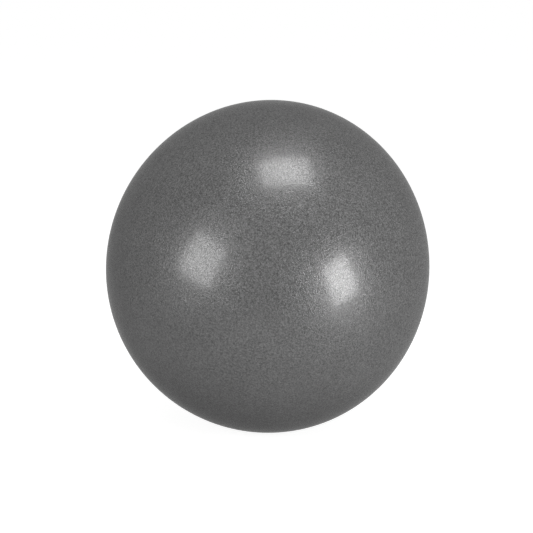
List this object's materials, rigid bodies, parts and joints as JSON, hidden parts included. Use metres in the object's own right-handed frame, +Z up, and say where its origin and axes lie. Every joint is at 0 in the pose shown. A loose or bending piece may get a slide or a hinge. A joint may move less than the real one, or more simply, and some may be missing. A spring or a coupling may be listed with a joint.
{
  "type": "pilates ball",
  "caption": "Small soft inflatable exercise ball: a thin hollow skin with a flush recessed air valve closed by a pull-out plug.",
  "frame": {"origin": "middle of the small flat patch of skin that lies on the floor", "axes": "+Z up through the ball's centre, +Y from the centre out through the valve, so -Y faces the picture's camera"},
  "size_m": [0.25, 0.2498, 0.2574],
  "materials": {
    "soft_skin": "satin",
    "neck_rubber": "matte",
    "plug_plastic": "satin"
  },
  "bodies": {
    "ball": {"ball_skin": "soft_skin", "valve_neck": "neck_rubber"},
    "plug": {"valve_plug": "plug_plastic"}
  },
  "joints": [
    {"name": "plug_pull", "type": "slide", "parent": "ball", "child": "plug", "axis": [0, 1, 0], "range_m": [0, 0.035]}
  ]
}
